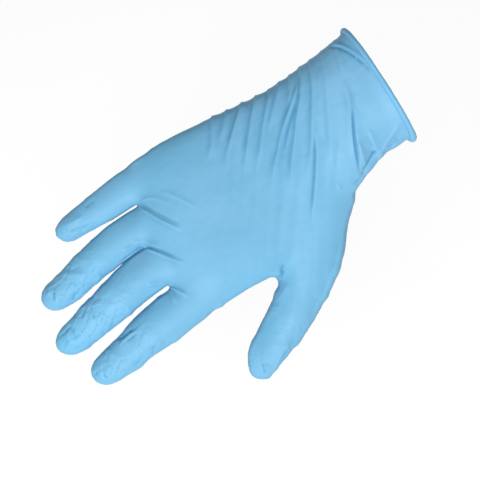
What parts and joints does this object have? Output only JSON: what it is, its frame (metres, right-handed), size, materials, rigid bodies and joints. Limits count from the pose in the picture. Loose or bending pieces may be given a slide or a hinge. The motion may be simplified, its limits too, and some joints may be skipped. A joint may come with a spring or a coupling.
{
  "type": "nitrile exam glove",
  "caption": "Light blue disposable nitrile exam glove in its worn form, hollow, with spread fingers, folded cuff film and a rolled bead at the wrist opening.",
  "frame": {"origin": "centre of the cuff's mouth, where the wrist goes in", "axes": "+X out of the cuff's mouth, with the fingers towards -X; +Y to the little finger's side; +Z out of the glove's back"},
  "size_m": [0.2399, 0.147, 0.0496],
  "materials": {
    "nitrile_film": "satin light blue nitrile film",
    "nitrile_bead": "satin light blue nitrile, rolled"
  },
  "bodies": {
    "root": {"glove_film": "nitrile_film", "rolled_bead": "nitrile_bead"}
  },
  "joints": []
}
